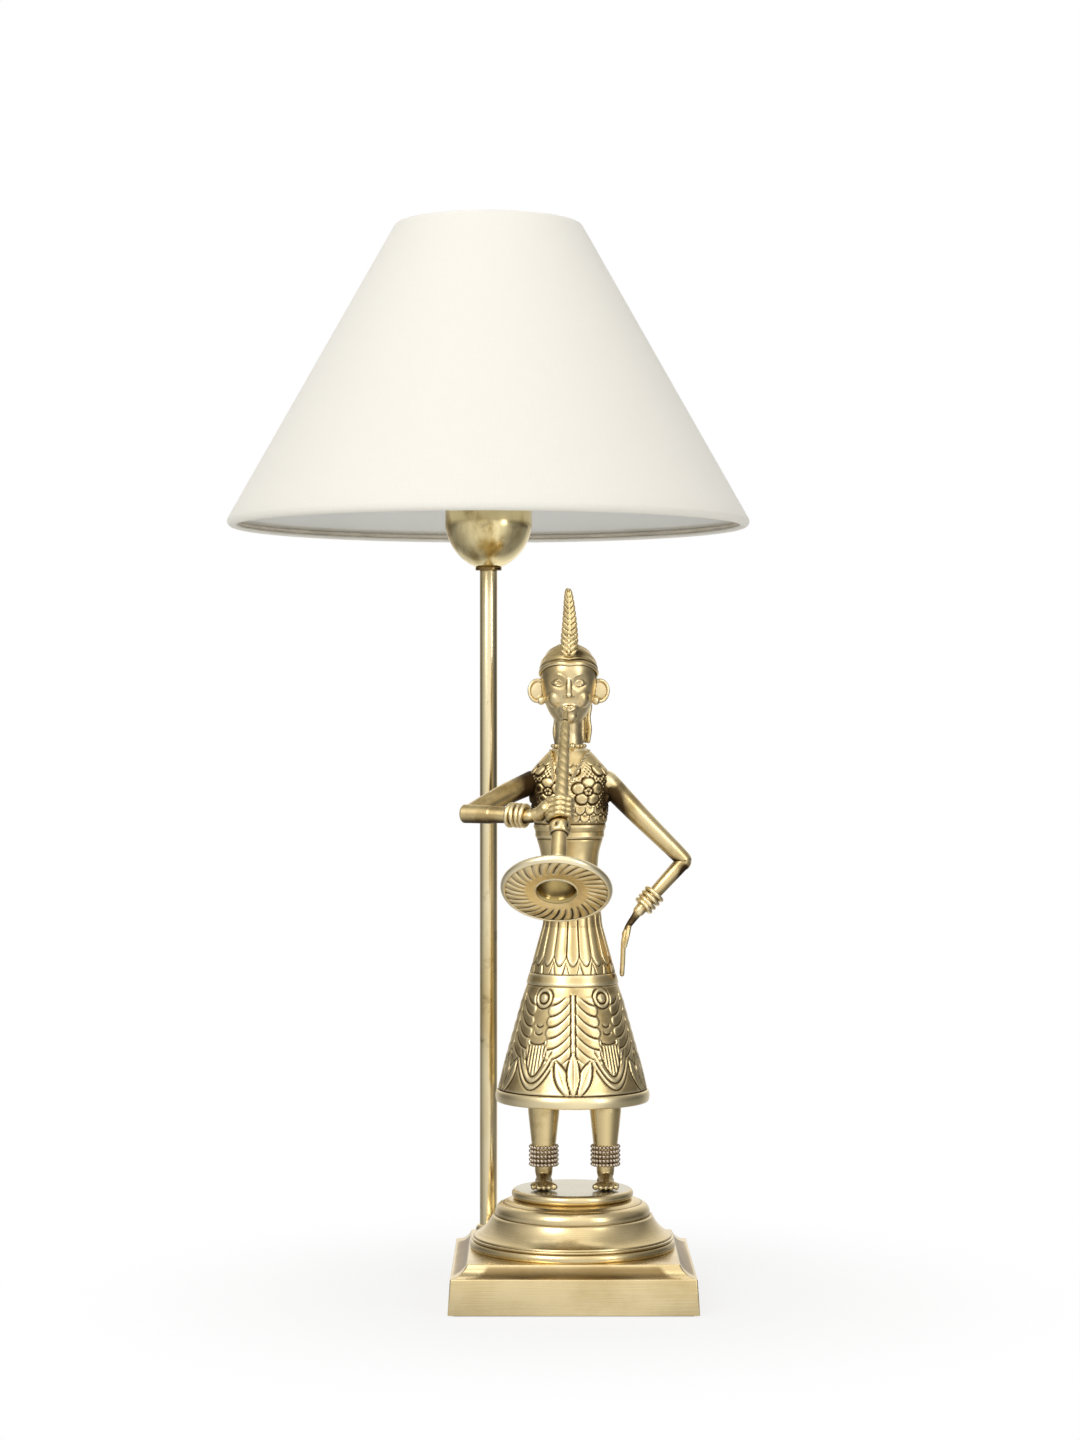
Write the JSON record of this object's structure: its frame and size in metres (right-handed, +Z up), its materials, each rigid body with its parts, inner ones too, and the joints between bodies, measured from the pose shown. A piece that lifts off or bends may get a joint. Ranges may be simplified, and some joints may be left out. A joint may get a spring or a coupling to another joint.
{
  "type": "bedside lamp",
  "caption": "Brass bedside lamp: a cast musician playing a horn stands on a square base with a round plinth, in front of a thin pole that carries a conical fabric shade and a screw-in bulb.",
  "frame": {"origin": "middle of the square base, on the table", "axes": "+Z up along the lamp's height, -Y towards the viewer whom the musician faces, +X to that viewer's right, the pole at -X +Y"},
  "size_m": [0.252, 0.2602, 0.5099],
  "materials": {
    "cast_brass": "aged cast brass, dark in the recesses",
    "turned_brass": "brushed",
    "pole_brass": "polished",
    "steel": "zinc plated",
    "white_wire": "white powder coat",
    "felt": "felt",
    "shade_fabric": "plain weave",
    "shade_inner": "laminated",
    "holder_plastic": "moulded",
    "block_plastic": "moulded",
    "lead_insulation": "extruded",
    "core_stone": "glazed",
    "contact_brass": "bright",
    "bulb_glass": "clear",
    "bulb_cap": "rolled",
    "filament": "coated"
  },
  "bodies": {
    "lamp_body": {"base_shell": "turned_brass", "felt_pad": "felt", "bottom_cover": "steel", "cover_screws": "steel", "cord_bushing": "holder_plastic", "terminal_block": "block_plastic", "block_screws": "steel", "round_plinth": "turned_brass", "figure_washers": "steel", "figure_screws": "steel", "pole": "pole_brass", "pole_foot_collar": "pole_brass", "pole_washer": "steel", "pole_nut": "contact_brass", "cup_collar": "pole_brass", "cup_nut": "contact_brass", "leads": "lead_insulation", "socket_cup": "pole_brass", "lampholder_cap": "holder_plastic", "contact_screws": "contact_brass", "lampholder_core": "core_stone", "centre_contact": "contact_brass", "screw_shell": "contact_brass", "lampholder_barrel": "holder_plastic", "skirt": "cast_brass", "skirt_plate": "cast_brass", "right_leg": "cast_brass", "left_leg": "cast_brass", "right_anklets": "cast_brass", "left_anklets": "cast_brass", "torso": "cast_brass", "head": "cast_brass", "head_scarf": "cast_brass", "hair": "cast_brass", "plume": "cast_brass", "plume_brooch": "cast_brass", "horn_pipe": "cast_brass", "horn_bell": "cast_brass", "horn_cords": "cast_brass", "necklace": "cast_brass", "right_arm": "cast_brass", "left_arm": "cast_brass", "right_bangles": "cast_brass", "left_bangles": "cast_brass", "right_hand": "cast_brass", "left_hand": "cast_brass"},
    "shade": {"shade_cover": "shade_fabric", "shade_lining": "shade_inner", "shade_top_ring": "white_wire", "shade_bottom_ring": "white_wire", "fitter_ring": "white_wire", "carrier_arms": "white_wire"},
    "shade_clamp": {"shade_ring": "holder_plastic"},
    "bulb_envelope": {"bulb_glass": "bulb_glass", "bulb_stem": "bulb_glass"},
    "bulb_core": {"bulb_cap": "bulb_cap", "bulb_insulator": "holder_plastic", "bulb_contact": "bulb_cap", "bulb_filaments": "filament"}
  },
  "joints": [
    {"name": "shade_swivel", "type": "hinge", "parent": "lamp_body", "child": "shade", "pos_m": [-0.0402, 0.0402, 0.3782], "axis": [0, 0, 1], "continuous": true},
    {"name": "shade_ring_turn", "type": "hinge", "parent": "lamp_body", "child": "shade_clamp", "pos_m": [-0.0402, 0.0402, 0.3832], "axis": [0, 0, 1], "range_deg": [0, 540]},
    {"name": "bulb_rise", "type": "slide", "parent": "lamp_body", "child": "bulb_envelope", "axis": [0, 0, 1], "range_m": [0, 0.01815]},
    {"name": "bulb_turn", "type": "hinge", "parent": "bulb_envelope", "child": "bulb_core", "pos_m": [-0.0402, 0.0402, 0.39], "axis": [0, 0, 1], "range_deg": [0, 1800]}
  ],
  "couplings": [
    {"joint": "bulb_turn", "follows": "bulb_rise", "rad_per_m": 1730.9}
  ]
}
